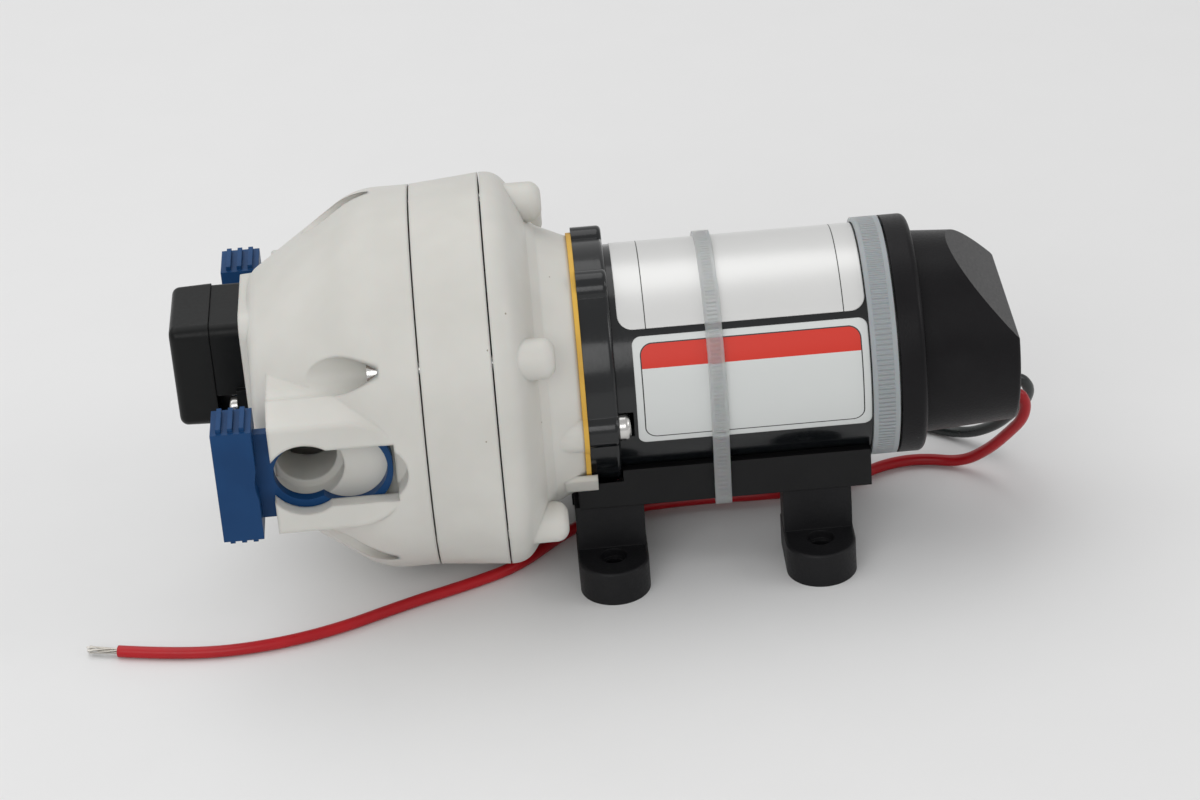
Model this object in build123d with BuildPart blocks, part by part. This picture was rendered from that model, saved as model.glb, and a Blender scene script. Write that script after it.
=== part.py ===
from build123d import *
import math
import os

os.makedirs("parts", exist_ok=True)

# A diaphragm water pump on four rubber feet. X runs along the motor shaft, from the pressure
# switch at -X to the end cap at +X, -Y is the side of the front port, and +Z is up.
# The origin is the centre of the four foot holes, on the surface that the pump stands on.

# Overall layout
axis_height = 54.5
head_radius = 53.0
foot_spacing_x = 56.0
foot_spacing_y = 58.0
gasket_x = -33.5
running_gap = 0.3
fit_gap = 0.05

# Pump head
upper_length = 47.3
ring_length = 18.9
lower_length = 21.8
seam_gap = 0.4
ring_draft = 1.6
housing_wall = 4.0
nose_radius = 31.0
nose_round = 6.0
nose_step = 2.0
dome_slope = 34.0
shoulder_round = 20.0
neck_radius = 37.5
flange_radius = 33.8
lower_shoulder = 11.0
bracket_boss_run = 11.0

# Screws of the pump head, as angles from the rear side of the shaft
head_screw_angles = (149, 76, 36, -36, -76, -140)
head_screw_circle = head_radius - 6.6
head_screw_radius = 2.0
head_screw_head_radius = 3.7
head_screw_head_height = 3.0
pocket_radius = 4.9
pocket_floor_depth = 10.6
rib_radius = 5.4
rib_circle = head_radius - 8.0
rib_length = 16.0

# Slide-lock ports
port_from_seam = 32.0
seal_bore_radius = 8.0
seal_bore_depth = 14.0
collar_radius = 10.0
collar_depth = 6.0
port_face = head_radius - 2.5
port_wall = 3.9
port_height = 31.0
port_round = 1.6
port_depth = 9.5
port_draft = 24.0
port_reach = 27.0
port_mouth = 8.5
window_radius = 10.3
window_slot_half = 8.4
window_reach = 23.6

# Wall inside the chamber
chamber_wall = 2.4
chamber_wall_front = 5.4
chamber_wall_length = 36.0

# Slide clips
clip_plate = 3.0
clip_height = 25.0
clip_travel = 11.0
clip_lock_radius = 8.3
clip_pass_radius = 10.2
clip_nose_reach = 22.6
grip_height = 32.0
grip_depth = 13.0
grip_width = 10.5
grip_back = 12.4
grip_proud = 0.8
grip_rib_count = 3
grip_rib = 1.3

# Pressure switch
switch_width = 27.0
switch_height = 29.3
switch_centre_lift = 12.0
switch_base_length = 8.0
switch_cover_length = 10.7
switch_corner = 3.0
switch_lip = 0.5
switch_wall = 1.6
switch_boss_margin = 2.2
switch_boss_depth = 16.0
switch_screw_lift = 3.0
switch_ear_width = 3.4
switch_ear_height = 10.5
switch_ear_thickness = 2.6
switch_screw_head = 3.0
switch_screw_height = 2.2
switch_screw_out = 0.4

# Motor
gasket_thickness = 1.3
gasket_radius = 34.6
bracket_length = 8.2
bracket_radius = 33.2
bracket_boss_circle = 31.0
bracket_boss_radius = 5.0
bracket_boss_angles = (-7, 66, 114, 187)
bracket_screw_angles = (-7, 187)
can_radius = 30.7
can_wall = 2.0
can_length = 77.0
can_end_wall = 3.0
shaft_radius = 4.0
shaft_front = 21.0
armature_radius = 19.5
armature_length = 36.0
armature_slots = 9
slot_width = 2.4
slot_depth = 6.0
commutator_radius = 10.0
commutator_length = 9.0
brush_length = 8.0
brush_width = 4.2
holder_wall = 1.7
magnet_inner = 21.0
magnet_arc = 140.0
bearing_radius = 9.5
bearing_width = 7.0

# End cap
cap_ring_radius = 32.2
cap_ring_length = 7.0
cap_ring_overlap = 2.0
cap_radius = 27.4
cap_length = 25.5
cap_taper = 1.6
cap_slant_length = 16.5
cap_slant_drop = 19.0
cap_wall = 2.2
wire_hole_drop = 19.3
wire_hole_pitch = 8.0
wire_hole_depth = 1.5

# Tongue across the gasket
tongue_angle = 217.0
tongue_root = 6.0
tongue_reach = 1.6
tongue_thickness = 1.8
tongue_width = 6.5

# Cradle base and feet
base_start = -36.0
base_half_width = 25.5
base_top_drop = 20.5
base_bottom_drop = 31.6
foot_leg_width = 18.5
foot_leg_front = 24.5
foot_leg_back = 14.5
foot_tab_radius = 9.5
foot_tab_height = 9.7
foot_hole_radius = 2.6
foot_recess_radius = 5.2
foot_recess_depth = 2.4
foot_peg_radius = 3.2
foot_peg_height = 3.0

# Cable ties
tie_thickness = 1.2
narrow_tie_x = 0.5
narrow_tie_width = 4.4
wide_tie_width = 7.0
wide_tie_gap = 0.6
tie_head_length = 9.0
tie_head_height = 5.0
tie_head_margin = 0.5
tie_head_angle = -5.0

# Drive inside the head
cam_radius = 8.0
cam_offset = 1.6
cam_length = 8.0
wobble_bearing_outer = 14.5
wobble_bearing_width = 5.0
wobble_clearance = 0.7
wobble_plate_radius = 33.0
wobble_plate_thickness = 3.0
wobble_tilt = 2.0
piston_circle = 24.0
piston_radius = 11.0
piston_stem_radius = 5.0
piston_thickness = 3.0
piston_count = 3
chamber_radius = 13.5
chamber_depth = 8.0
diaphragm_thickness = 1.6
diaphragm_radius = head_radius - 11.0
valve_radius = 6.0
valve_thickness = 1.2

# Leads
lead_diameter = 3.2
lead_strip_length = 9.0
lead_strand_diameter = 1.6

# Stations along X
flange_x = gasket_x - lower_length
ring_x = flange_x - ring_length
nose_x = ring_x - upper_length
port_x = ring_x - port_from_seam
bracket_x = gasket_x + gasket_thickness
can_x = bracket_x + bracket_length
can_end_x = can_x + can_length
cap_x = can_end_x - cap_ring_overlap
cap_body_x = cap_x + cap_ring_length
cap_end_x = cap_body_x + cap_length
switch_x = nose_x - switch_base_length
switch_end_x = switch_x - switch_cover_length
wide_tie_x = cap_x - wide_tie_gap - wide_tie_width
base_length = wide_tie_x - wide_tie_gap - base_start

shaft_line = Axis((0, 0, axis_height), (1, 0, 0))
side_view = Plane(origin=(0, 0, axis_height), x_dir=(1, 0, 0), z_dir=(0, -1, 0))


def across(x):
    """Plane square to the shaft at x, whose local x is +Y and local y is +Z."""
    return Plane(origin=(x, 0, axis_height), x_dir=(0, 1, 0), z_dir=(1, 0, 0))


def on_port(side, distance):
    """Plane square to a port at this distance from the shaft. side is -1 in front, 1 behind."""
    return Plane(origin=(port_x, side * distance, axis_height), x_dir=(1, 0, 0), z_dir=(0, side, 0))


def round_places(radius, angles):
    """Places on a circle about the shaft, for a sketch that is square to it."""
    return [(radius * math.cos(math.radians(a)), radius * math.sin(math.radians(a))) for a in angles]


def save(piece, label):
    piece.part.label = label
    export_step(piece.part, f"parts/{label}.step")


# Upper housing: a domed shell with a nose block for the switch, two port bosses and six pockets
rim_radius = head_radius - ring_draft
shoulder_x = nose_x + nose_step + (rim_radius - nose_radius) / math.tan(math.radians(dome_slope))
dome_inner_radius = rim_radius - housing_wall
pocket_floor_x = ring_x - pocket_floor_depth
clip_plane = port_face - port_wall
channel_depth = clip_plate + 2 * running_gap
channel_height = clip_height + 2 * running_gap
port_floor = clip_plane - channel_depth
grip_front = port_face + grip_proud
grip_floor = grip_front - grip_depth - running_gap
bore_end = port_floor - collar_depth - seal_bore_depth
dome_cavity_radius = bore_end + 2.0
chamber_x = port_x - seal_bore_radius - 1.5


def make_port_boss(side):
    """Boss of one port, round at the motor end, with an eased edge round its face."""
    with BuildPart() as boss:
        with BuildSketch(on_port(side, port_face)):
            with Locations((port_reach - port_height / 2, 0)):
                Circle(port_height / 2)
            with Locations(((port_reach - port_height / 2 - port_mouth) / 2, 0)):
                Rectangle(port_reach - port_height / 2 + port_mouth, port_height)
        extrude(amount=-port_depth, taper=-port_draft)
        fillet(boss.faces().sort_by(Axis.Y)[0 if side < 0 else -1].edges(), port_round)
        extrude(boss.faces().sort_by(Axis.Y)[-1 if side < 0 else 0], amount=port_face - port_depth - bore_end)
        # The nose end is cut square, for the clip to enter
        with BuildSketch(on_port(side, 0)):
            with Locations((-port_mouth - port_height, 0)):
                Rectangle(2 * port_height, 2 * port_height)
        extrude(amount=port_face + 1, mode=Mode.SUBTRACT)
    return boss.part


port_bosses = [make_port_boss(side) for side in (-1, 1)]
with BuildPart() as upper_housing:
    with BuildSketch(side_view):
        with BuildLine():
            Polyline(
                (nose_x + nose_step, 0),
                (nose_x + nose_step, nose_radius),
                (shoulder_x, rim_radius),
                (ring_x - seam_gap, rim_radius),
                (ring_x - seam_gap, 0),
                close=True,
            )
        make_face()
    revolve(axis=shaft_line)
    fillet(upper_housing.edges().filter_by_position(Axis.X, shoulder_x - 0.1, shoulder_x + 0.1), shoulder_round)
    fillet(upper_housing.edges().group_by(Axis.X)[0], nose_round)
    add(port_bosses)
    # Nose block that carries the switch
    with BuildSketch(across(nose_x)):
        with Locations((0, switch_centre_lift)):
            RectangleRounded(
                switch_width + 2 * switch_boss_margin,
                switch_height + 2 * switch_boss_margin,
                switch_corner + switch_boss_margin,
            )
    with BuildSketch(across(nose_x + switch_boss_depth)):
        with Locations((0, switch_centre_lift - switch_boss_margin)):
            RectangleRounded(
                switch_width + 5 * switch_boss_margin,
                switch_height + 5 * switch_boss_margin,
                switch_corner + 3 * switch_boss_margin,
            )
    loft()
    # Swellings round the screw pockets
    with BuildSketch(across(pocket_floor_x - 2)):
        with Locations(*round_places(head_screw_circle, head_screw_angles)):
            Circle(rim_radius - head_screw_circle - 0.1)
    extrude(amount=pocket_floor_depth)
    with BuildSketch(across(pocket_floor_x)):
        with Locations(*round_places(head_screw_circle, head_screw_angles)):
            Circle(pocket_radius)
    extrude(amount=-upper_length, mode=Mode.SUBTRACT)
    with BuildSketch(across(pocket_floor_x)):
        with Locations(*round_places(head_screw_circle, head_screw_angles)):
            Circle(head_screw_radius + fit_gap)
    extrude(amount=pocket_floor_depth, mode=Mode.SUBTRACT)
    # Inner chamber, open towards the valve housing
    with BuildSketch(side_view):
        with BuildLine():
            Polyline(
                (ring_x, 0),
                (ring_x, dome_inner_radius - pocket_radius - 4),
                (ring_x - pocket_floor_depth, dome_cavity_radius + 8),
                (port_x + seal_bore_radius + 2, dome_cavity_radius),
                (chamber_x, dome_cavity_radius),
                (chamber_x, 0),
                close=True,
            )
        make_face()
    revolve(axis=shaft_line, mode=Mode.SUBTRACT)
    for side in (-1, 1):
        # Window of the port: a round mouth with a slot that shows the nose of the clip
        with BuildSketch(on_port(side, clip_plane - channel_depth / 2)):
            Circle(window_radius)
            with Locations((window_reach / 2, 0)):
                Rectangle(window_reach, 2 * window_slot_half)
            with Locations((window_reach - window_slot_half + 3, 0)):
                Circle(window_slot_half)
        extrude(amount=port_wall + channel_depth + 3, mode=Mode.SUBTRACT)
        # Channel that the clip slides in
        with BuildSketch(on_port(side, port_floor)):
            with Locations(((clip_nose_reach + 2 * running_gap - port_mouth - 20) / 2, 0)):
                Rectangle(clip_nose_reach + 2 * running_gap + port_mouth + 20, channel_height)
        extrude(amount=channel_depth, mode=Mode.SUBTRACT)
        # Bay beside the boss that the grip stands in
        with BuildSketch(on_port(side, grip_floor)):
            with Locations((-grip_back - grip_width, 0)):
                Rectangle(2 * grip_width + 2, grip_height + 2 * grip_rib + 2)
            Circle(grip_back, mode=Mode.SUBTRACT)
        extrude(amount=grip_depth + 2, mode=Mode.SUBTRACT)
        # Collar seat and seal bore
        with BuildSketch(on_port(side, port_floor)):
            Circle(collar_radius)
        extrude(amount=-collar_depth, mode=Mode.SUBTRACT)
        with BuildSketch(on_port(side, port_floor - collar_depth)):
            Circle(seal_bore_radius)
        extrude(amount=-seal_bore_depth - 4, mode=Mode.SUBTRACT)
    # Wall between the two ports' halves of the chamber, in front of the passage
    with BuildSketch(side_view.offset(chamber_wall_front)):
        with Locations((chamber_x - 1 + chamber_wall_length / 2, 0)):
            Rectangle(chamber_wall_length, 2 * dome_cavity_radius + 2)
    extrude(amount=chamber_wall)
    # Passage to the pressure switch
    with BuildSketch(across(nose_x)):
        with Locations((0, switch_centre_lift)):
            Circle(5)
    extrude(amount=upper_length, mode=Mode.SUBTRACT)
save(upper_housing, "upper_housing")


# Slide clips
def make_clip(side):
    """Fork plate with a locking eye, a wider passing eye and a ribbed grip outside the boss."""
    plate_front = clip_plane - running_gap
    eye_pitch = clip_travel
    with BuildPart() as clip:
        with BuildSketch(on_port(side, plate_front)):
            with Locations(((clip_nose_reach - grip_back) / 2, 0)):
                RectangleRounded(clip_nose_reach + grip_back, clip_height, clip_height / 2 - 1)
            with Locations((-grip_back / 2 - 1, 0)):
                Rectangle(grip_back, clip_height)
            Circle(clip_lock_radius, mode=Mode.SUBTRACT)
            with Locations((eye_pitch, 0)):
                Circle(clip_pass_radius, mode=Mode.SUBTRACT)
        extrude(amount=-clip_plate)
        with BuildSketch(on_port(side, grip_front)):
            with Locations((-grip_back - grip_width / 2, 0)):
                Rectangle(grip_width, grip_height)
            with Locations((0, 0)):
                Circle(grip_back + 0.6, mode=Mode.SUBTRACT)
        extrude(amount=-grip_depth)
        # Ribs across both ends of the grip
        for end in (-1, 1):
            with BuildSketch(on_port(side, grip_front - 1)):
                for rib in range(grip_rib_count):
                    rib_x = -grip_back - grip_width + 2.2 + rib * 3.0
                    with Locations((rib_x, end * (grip_height / 2 + grip_rib / 2 - 0.1))):
                        Rectangle(grip_rib, grip_rib)
            extrude(amount=-grip_depth + 2)
    return clip


clip_front = make_clip(-1)
save(clip_front, "slide_clip_front")
clip_rear = make_clip(1)
save(clip_rear, "slide_clip_rear")

# Valve housing: the ring between the two seams, with a chamber for each piston
ring_face_x = flange_x - seam_gap
with BuildPart() as valve_housing:
    with BuildSketch(across(ring_x)):
        Circle(rim_radius)
    with BuildSketch(across(ring_face_x)):
        Circle(head_radius)
    loft()
    with BuildSketch(across(ring_face_x)):
        Circle(diaphragm_radius)
    extrude(amount=-diaphragm_thickness, mode=Mode.SUBTRACT)
    with BuildSketch(across(ring_face_x)):
        with PolarLocations(piston_circle, piston_count, start_angle=90):
            Circle(chamber_radius)
    extrude(amount=-diaphragm_thickness - chamber_depth, mode=Mode.SUBTRACT)
    with BuildSketch(across(ring_x)):
        with PolarLocations(piston_circle, piston_count, start_angle=90):
            Circle(valve_radius - 3)
        Circle(valve_radius - 3)
    extrude(amount=ring_length, mode=Mode.SUBTRACT)
    with BuildSketch(across(ring_x)):
        with Locations(*round_places(head_screw_circle, head_screw_angles)):
            Circle(head_screw_radius + fit_gap)
    extrude(amount=ring_length, mode=Mode.SUBTRACT)
save(valve_housing, "valve_housing")

# Valves on the front of the ring: one over each chamber, one in the middle
with BuildPart() as valves:
    with BuildSketch(across(ring_x - fit_gap)):
        with PolarLocations(piston_circle, piston_count, start_angle=90):
            Circle(valve_radius)
    extrude(amount=-valve_thickness)
save(valves, "inlet_valves")

with BuildPart() as outlet_valve:
    with BuildSketch(across(ring_x - fit_gap)):
        Circle(valve_radius + 2)
    extrude(amount=-valve_thickness)
save(outlet_valve, "outlet_valve")

# Diaphragm: a rubber disc with a raised ring round each piston
with BuildPart() as diaphragm:
    with BuildSketch(across(ring_face_x - running_gap)):
        Circle(diaphragm_radius - running_gap)
        with PolarLocations(piston_circle, piston_count, start_angle=90):
            Circle(piston_stem_radius + 1.6, mode=Mode.SUBTRACT)
    extrude(amount=-diaphragm_thickness + 2 * running_gap)
save(diaphragm, "diaphragm")

# Lower housing: drum, neck and flange, with a rib for each head screw
drum_end_x = flange_x + lower_shoulder
boss_x = gasket_x - bracket_boss_run
cavity_radius = wobble_plate_radius + 3
with BuildPart() as lower_housing:
    with BuildSketch(side_view):
        with BuildLine():
            Line((flange_x, 0), (flange_x, head_radius))
            Line((flange_x, head_radius), (flange_x + 1.2, head_radius))
            Spline(
                (flange_x + 1.2, head_radius),
                (flange_x + 7.5, head_radius - 4.5),
                (drum_end_x, neck_radius + 3),
                tangents=((1, -0.08), (0.25, -1)),
            )
            Line((drum_end_x, neck_radius + 3), (drum_end_x + 2.5, neck_radius))
            Line((drum_end_x + 2.5, neck_radius), (gasket_x, flange_radius))
            Line((gasket_x, flange_radius), (gasket_x, 0))
            Line((gasket_x, 0), (flange_x, 0))
        make_face()
    revolve(axis=shaft_line)
    with BuildSketch(across(flange_x)):
        with Locations(*round_places(rib_circle, head_screw_angles)):
            Circle(rib_radius)
    extrude(amount=rib_length)
    fillet(lower_housing.edges().filter_by(GeomType.CIRCLE).filter_by_position(
        Axis.X, flange_x + rib_length - 0.1, flange_x + rib_length + 0.1), 3.4)
    with BuildSketch(across(boss_x)):
        with Locations(*round_places(bracket_boss_circle, bracket_screw_angles)):
            Circle(bracket_boss_radius + 0.8)
    extrude(amount=gasket_x - boss_x)
    # Tongue that lies over the gasket and keys the bracket
    with BuildSketch(across(gasket_x - tongue_root)):
        with Locations(Location((0, 0, 0), (0, 0, tongue_angle))):
            with Locations((gasket_radius + running_gap + tongue_thickness / 2, 0)):
                Rectangle(tongue_thickness, tongue_width)
    extrude(amount=tongue_root + gasket_thickness + tongue_reach)
    # Cavity for the cam and the wobble plate
    with BuildSketch(side_view):
        with BuildLine():
            Polyline(
                (flange_x, 0),
                (flange_x, cavity_radius),
                (flange_x + 9, cavity_radius),
                (gasket_x - 6, wobble_bearing_outer + 3),
                (gasket_x, wobble_bearing_outer + 3),
                (gasket_x, 0),
                close=True,
            )
        make_face()
    revolve(axis=shaft_line, mode=Mode.SUBTRACT)
    with BuildSketch(across(flange_x)):
        with Locations(*round_places(head_screw_circle, head_screw_angles)):
            Circle(head_screw_radius + fit_gap)
    extrude(amount=8, mode=Mode.SUBTRACT)
    with BuildSketch(across(gasket_x)):
        with Locations(*round_places(bracket_boss_circle, bracket_screw_angles)):
            Circle(head_screw_radius + fit_gap)
    extrude(amount=-8, mode=Mode.SUBTRACT)
save(lower_housing, "lower_housing")

# Head screws, driven from the nose side into the lower housing
with BuildPart() as head_screws:
    with BuildSketch(across(pocket_floor_x - fit_gap)):
        with Locations(*round_places(head_screw_circle, head_screw_angles)):
            Circle(head_screw_head_radius)
    extrude(amount=-head_screw_head_height)
    with BuildSketch(across(pocket_floor_x - fit_gap)):
        with Locations(*round_places(head_screw_circle, head_screw_angles)):
            Circle(head_screw_radius)
    extrude(amount=flange_x + 7 - pocket_floor_x)
    with BuildSketch(across(pocket_floor_x - fit_gap - head_screw_head_height)):
        with Locations(*round_places(head_screw_circle, head_screw_angles)):
            Rectangle(4.2, 1.0)
            Rectangle(1.0, 4.2)
    extrude(amount=1.4, mode=Mode.SUBTRACT)
save(head_screws, "head_screws")

# Flange gasket
with BuildPart() as gasket:
    with BuildSketch(across(gasket_x)):
        Circle(gasket_radius)
        with Locations(*round_places(bracket_boss_circle, bracket_screw_angles)):
            Circle(bracket_boss_radius + 1.4)
        Circle(wobble_bearing_outer + 3, mode=Mode.SUBTRACT)
        with Locations(*round_places(bracket_boss_circle, bracket_screw_angles)):
            Circle(head_screw_radius + 0.4, mode=Mode.SUBTRACT)
    extrude(amount=gasket_thickness)
save(gasket, "flange_gasket")

# Motor bracket: the front plate of the motor, with bosses round its edge
with BuildPart() as bracket:
    with BuildSketch(across(bracket_x)):
        Circle(bracket_radius)
        with Locations(*round_places(bracket_boss_circle, bracket_boss_angles)):
            Circle(bracket_boss_radius)
    extrude(amount=bracket_length)
    fillet(bracket.faces().sort_by(Axis.X)[-1].edges(), 1.2)
    with BuildSketch(across(bracket_x)):
        with Locations(*round_places(bracket_boss_circle, bracket_screw_angles)):
            Circle(head_screw_radius + fit_gap)
        Circle(shaft_radius + 2)
    extrude(amount=bracket_length, mode=Mode.SUBTRACT)
    with BuildSketch(across(can_x)):
        Circle(bearing_radius + fit_gap)
    extrude(amount=-bearing_width + 1, mode=Mode.SUBTRACT)
save(bracket, "motor_bracket")

with BuildPart() as bracket_screws:
    with BuildSketch(across(can_x + fit_gap)):
        with Locations(*round_places(bracket_boss_circle, bracket_screw_angles)):
            Circle(head_screw_head_radius)
    extrude(amount=head_screw_head_height)
    fillet(bracket_screws.edges().group_by(Axis.X)[-1], 1.4)
    with BuildSketch(across(can_x + fit_gap)):
        with Locations(*round_places(bracket_boss_circle, bracket_screw_angles)):
            Circle(head_screw_radius)
    extrude(amount=-bracket_length - gasket_thickness - 7)
    with BuildSketch(across(can_x + fit_gap + head_screw_head_height)):
        with Locations(*round_places(bracket_boss_circle, bracket_screw_angles)):
            Rectangle(4.0, 0.9)
            Rectangle(0.9, 4.0)
    extrude(amount=-1.2, mode=Mode.SUBTRACT)
save(bracket_screws, "bracket_screws")

# Motor can: a steel tube closed at the brush end, notched beside the bracket screws
can_inner = can_radius - can_wall
rear_bearing_x = can_end_x - can_end_wall - bearing_width
with BuildPart() as can:
    with BuildSketch(across(can_x)):
        Circle(can_radius)
    extrude(amount=can_length)
    with BuildSketch(across(can_x)):
        Circle(can_inner)
    extrude(amount=can_length - can_end_wall, mode=Mode.SUBTRACT)
    with BuildSketch(across(can_end_x - can_end_wall)):
        Circle(bearing_radius + 3)
    extrude(amount=-bearing_width)
    with BuildSketch(across(can_end_x - can_end_wall)):
        Circle(bearing_radius + fit_gap)
    extrude(amount=-bearing_width, mode=Mode.SUBTRACT)
    with BuildSketch(across(can_x)):
        with Locations(*round_places(bracket_boss_circle, bracket_screw_angles)):
            Circle(head_screw_head_radius + running_gap)
    extrude(amount=head_screw_head_height + 1, mode=Mode.SUBTRACT)
save(can, "motor_can")

# Two arc magnets bonded inside the can
armature_x = can_x + 12
magnet_span = math.radians(magnet_arc)
with BuildPart() as magnets:
    with BuildSketch(across(armature_x)):
        Circle(can_inner - fit_gap)
        Circle(magnet_inner, mode=Mode.SUBTRACT)
        Rectangle(2 * can_inner, 2 * magnet_inner * math.cos(magnet_span / 2), mode=Mode.SUBTRACT)
    extrude(amount=armature_length + 4)
save(magnets, "magnets")

# Armature, commutator and shaft, which turn together with the cam
with BuildPart() as shaft:
    with BuildSketch(across(bracket_x - shaft_front)):
        Circle(shaft_radius)
    extrude(amount=can_end_x - can_end_wall - 1 - bracket_x + shaft_front)
    chamfer(shaft.edges().filter_by(GeomType.CIRCLE), 0.5)
save(shaft, "motor_shaft")

with BuildPart() as armature:
    with BuildSketch(across(armature_x + 2)):
        Circle(armature_radius)
        with PolarLocations(armature_radius - slot_depth / 2, armature_slots):
            Rectangle(slot_depth + 1, slot_width, mode=Mode.SUBTRACT)
        Circle(shaft_radius, mode=Mode.SUBTRACT)
    extrude(amount=armature_length)
save(armature, "armature")

commutator_x = armature_x + 2 + armature_length + 3
with BuildPart() as commutator:
    with BuildSketch(across(commutator_x)):
        Circle(commutator_radius)
        with PolarLocations(commutator_radius, armature_slots):
            Rectangle(2, 0.6, mode=Mode.SUBTRACT)
        Circle(shaft_radius, mode=Mode.SUBTRACT)
    extrude(amount=commutator_length)
save(commutator, "commutator")


def make_bearing(x):
    """Ball bearing: outer and inner rings with a row of balls between them."""
    with BuildPart() as bearing:
        with BuildSketch(across(x)):
            Circle(bearing_radius)
            Circle(shaft_radius + fit_gap, mode=Mode.SUBTRACT)
        extrude(amount=bearing_width - 1.2)
        with BuildSketch(across(x)):
            Circle((bearing_radius + shaft_radius) / 2 + 1)
            Circle((bearing_radius + shaft_radius) / 2 - 1, mode=Mode.SUBTRACT)
        extrude(amount=0.6, mode=Mode.SUBTRACT)
    return bearing


front_bearing = make_bearing(can_x - bearing_width + 1.1)
save(front_bearing, "front_bearing")
rear_bearing = make_bearing(rear_bearing_x + 1.1)
save(rear_bearing, "rear_bearing")

# Brush plate with two carbon brushes that press on the commutator
brush_reach = can_inner - commutator_radius
with BuildPart() as brush_plate:
    with BuildSketch(across(commutator_x + commutator_length + 1)):
        Circle(can_inner - fit_gap)
        Circle(bearing_radius + 4, mode=Mode.SUBTRACT)
    extrude(amount=2)
    with BuildSketch(across(commutator_x + 1.5)):
        for side in (-1, 1):
            with Locations((side * (can_inner - brush_reach / 2 + 1.5), 0)):
                Rectangle(brush_reach - 5, brush_width + 2 * (holder_wall + running_gap))
                Rectangle(brush_reach, brush_width + 2 * running_gap, mode=Mode.SUBTRACT)
    extrude(amount=commutator_length - 0.5)
    with BuildSketch(across(commutator_x)):
        Circle(can_inner + 6)
        Circle(can_inner - fit_gap, mode=Mode.SUBTRACT)
    extrude(amount=commutator_length + 3, mode=Mode.SUBTRACT)
save(brush_plate, "brush_plate")

with BuildPart() as brushes:
    with BuildSketch(across(commutator_x + 2)):
        for side in (-1, 1):
            with Locations((side * (commutator_radius + running_gap + brush_length / 2), 0)):
                Rectangle(brush_length, brush_width)
    extrude(amount=commutator_length - 3)
save(brushes, "carbon_brushes")

# Eccentric cam and the bearing that carries the wobble plate
cam_x = bracket_x - shaft_front + 1
with BuildPart() as cam:
    with BuildSketch(across(cam_x)):
        with Locations((0, cam_offset)):
            Circle(cam_radius)
        Circle(shaft_radius, mode=Mode.SUBTRACT)
    extrude(amount=cam_length)
save(cam, "eccentric_cam")

wobble_x = flange_x + 4
wobble_bore = cam_radius + cam_offset + wobble_clearance
with BuildPart() as wobble_bearing:
    with BuildSketch(across(wobble_x)):
        Circle(wobble_bearing_outer)
        Circle(wobble_bore, mode=Mode.SUBTRACT)
    extrude(amount=wobble_bearing_width)
save(wobble_bearing, "wobble_bearing")

with BuildPart() as wobble_plate:
    with BuildSketch(across(wobble_x)):
        Circle(wobble_bearing_outer + 3)
        with PolarLocations(piston_circle, piston_count, start_angle=90):
            Circle(piston_stem_radius + 3)
        with PolarLocations(piston_circle / 2, piston_count, start_angle=90):
            Rectangle(piston_circle, 2 * piston_stem_radius)
        Circle(wobble_bearing_outer, mode=Mode.SUBTRACT)
    extrude(amount=wobble_plate_thickness)
save(wobble_plate, "wobble_plate")

# Pistons: a stem through the diaphragm with a disc in the chamber
piston_x = ring_face_x - diaphragm_thickness - 2.6
with BuildPart() as pistons:
    with BuildSketch(across(wobble_x)):
        with PolarLocations(piston_circle, piston_count, start_angle=90):
            Circle(piston_stem_radius)
    extrude(amount=piston_x - wobble_x)
    with BuildSketch(across(piston_x)):
        with PolarLocations(piston_circle, piston_count, start_angle=90):
            Circle(piston_radius)
    extrude(amount=-piston_thickness)
save(pistons, "pistons")

# Pressure switch: diaphragm, plunger and micro switch inside the base and its cover
with BuildPart() as switch_base:
    with BuildSketch(across(switch_x)):
        with Locations((0, switch_centre_lift)):
            RectangleRounded(switch_width, switch_height, switch_corner)
    extrude(amount=switch_base_length - fit_gap)
    with BuildSketch(across(switch_x)):
        with Locations((0, switch_centre_lift)):
            RectangleRounded(switch_width - 2 * switch_wall, switch_height - 2 * switch_wall, switch_corner / 2)
    extrude(amount=switch_base_length - 3, mode=Mode.SUBTRACT)
    # Ears for the two screws, each in a notch beside the box
    with BuildSketch(across(nose_x - fit_gap)):
        for side in (-1, 1):
            with Locations((side * switch_width / 2, switch_screw_lift)):
                Rectangle(switch_ear_width, switch_ear_height)
    extrude(amount=-switch_ear_thickness)
    with BuildSketch(across(nose_x - switch_ear_thickness - fit_gap)):
        for side in (-1, 1):
            with Locations((side * (switch_width / 2 + switch_screw_out), switch_screw_lift)):
                Circle(switch_screw_head + fit_gap + running_gap)
    extrude(amount=-switch_base_length, mode=Mode.SUBTRACT)
    with BuildSketch(across(nose_x)):
        with Locations((0, switch_centre_lift)):
            Circle(5.5)
    extrude(amount=-switch_base_length, mode=Mode.SUBTRACT)
save(switch_base, "switch_base")

with BuildPart() as switch_screws:
    with BuildSketch(across(nose_x - switch_ear_thickness - 2 * fit_gap)):
        for side in (-1, 1):
            with Locations((side * (switch_width / 2 + switch_screw_out), switch_screw_lift)):
                Circle(switch_screw_head)
    extrude(amount=-switch_screw_height)
    fillet(switch_screws.edges().group_by(Axis.X)[0], switch_screw_height * 0.4)
save(switch_screws, "switch_screws")

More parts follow.
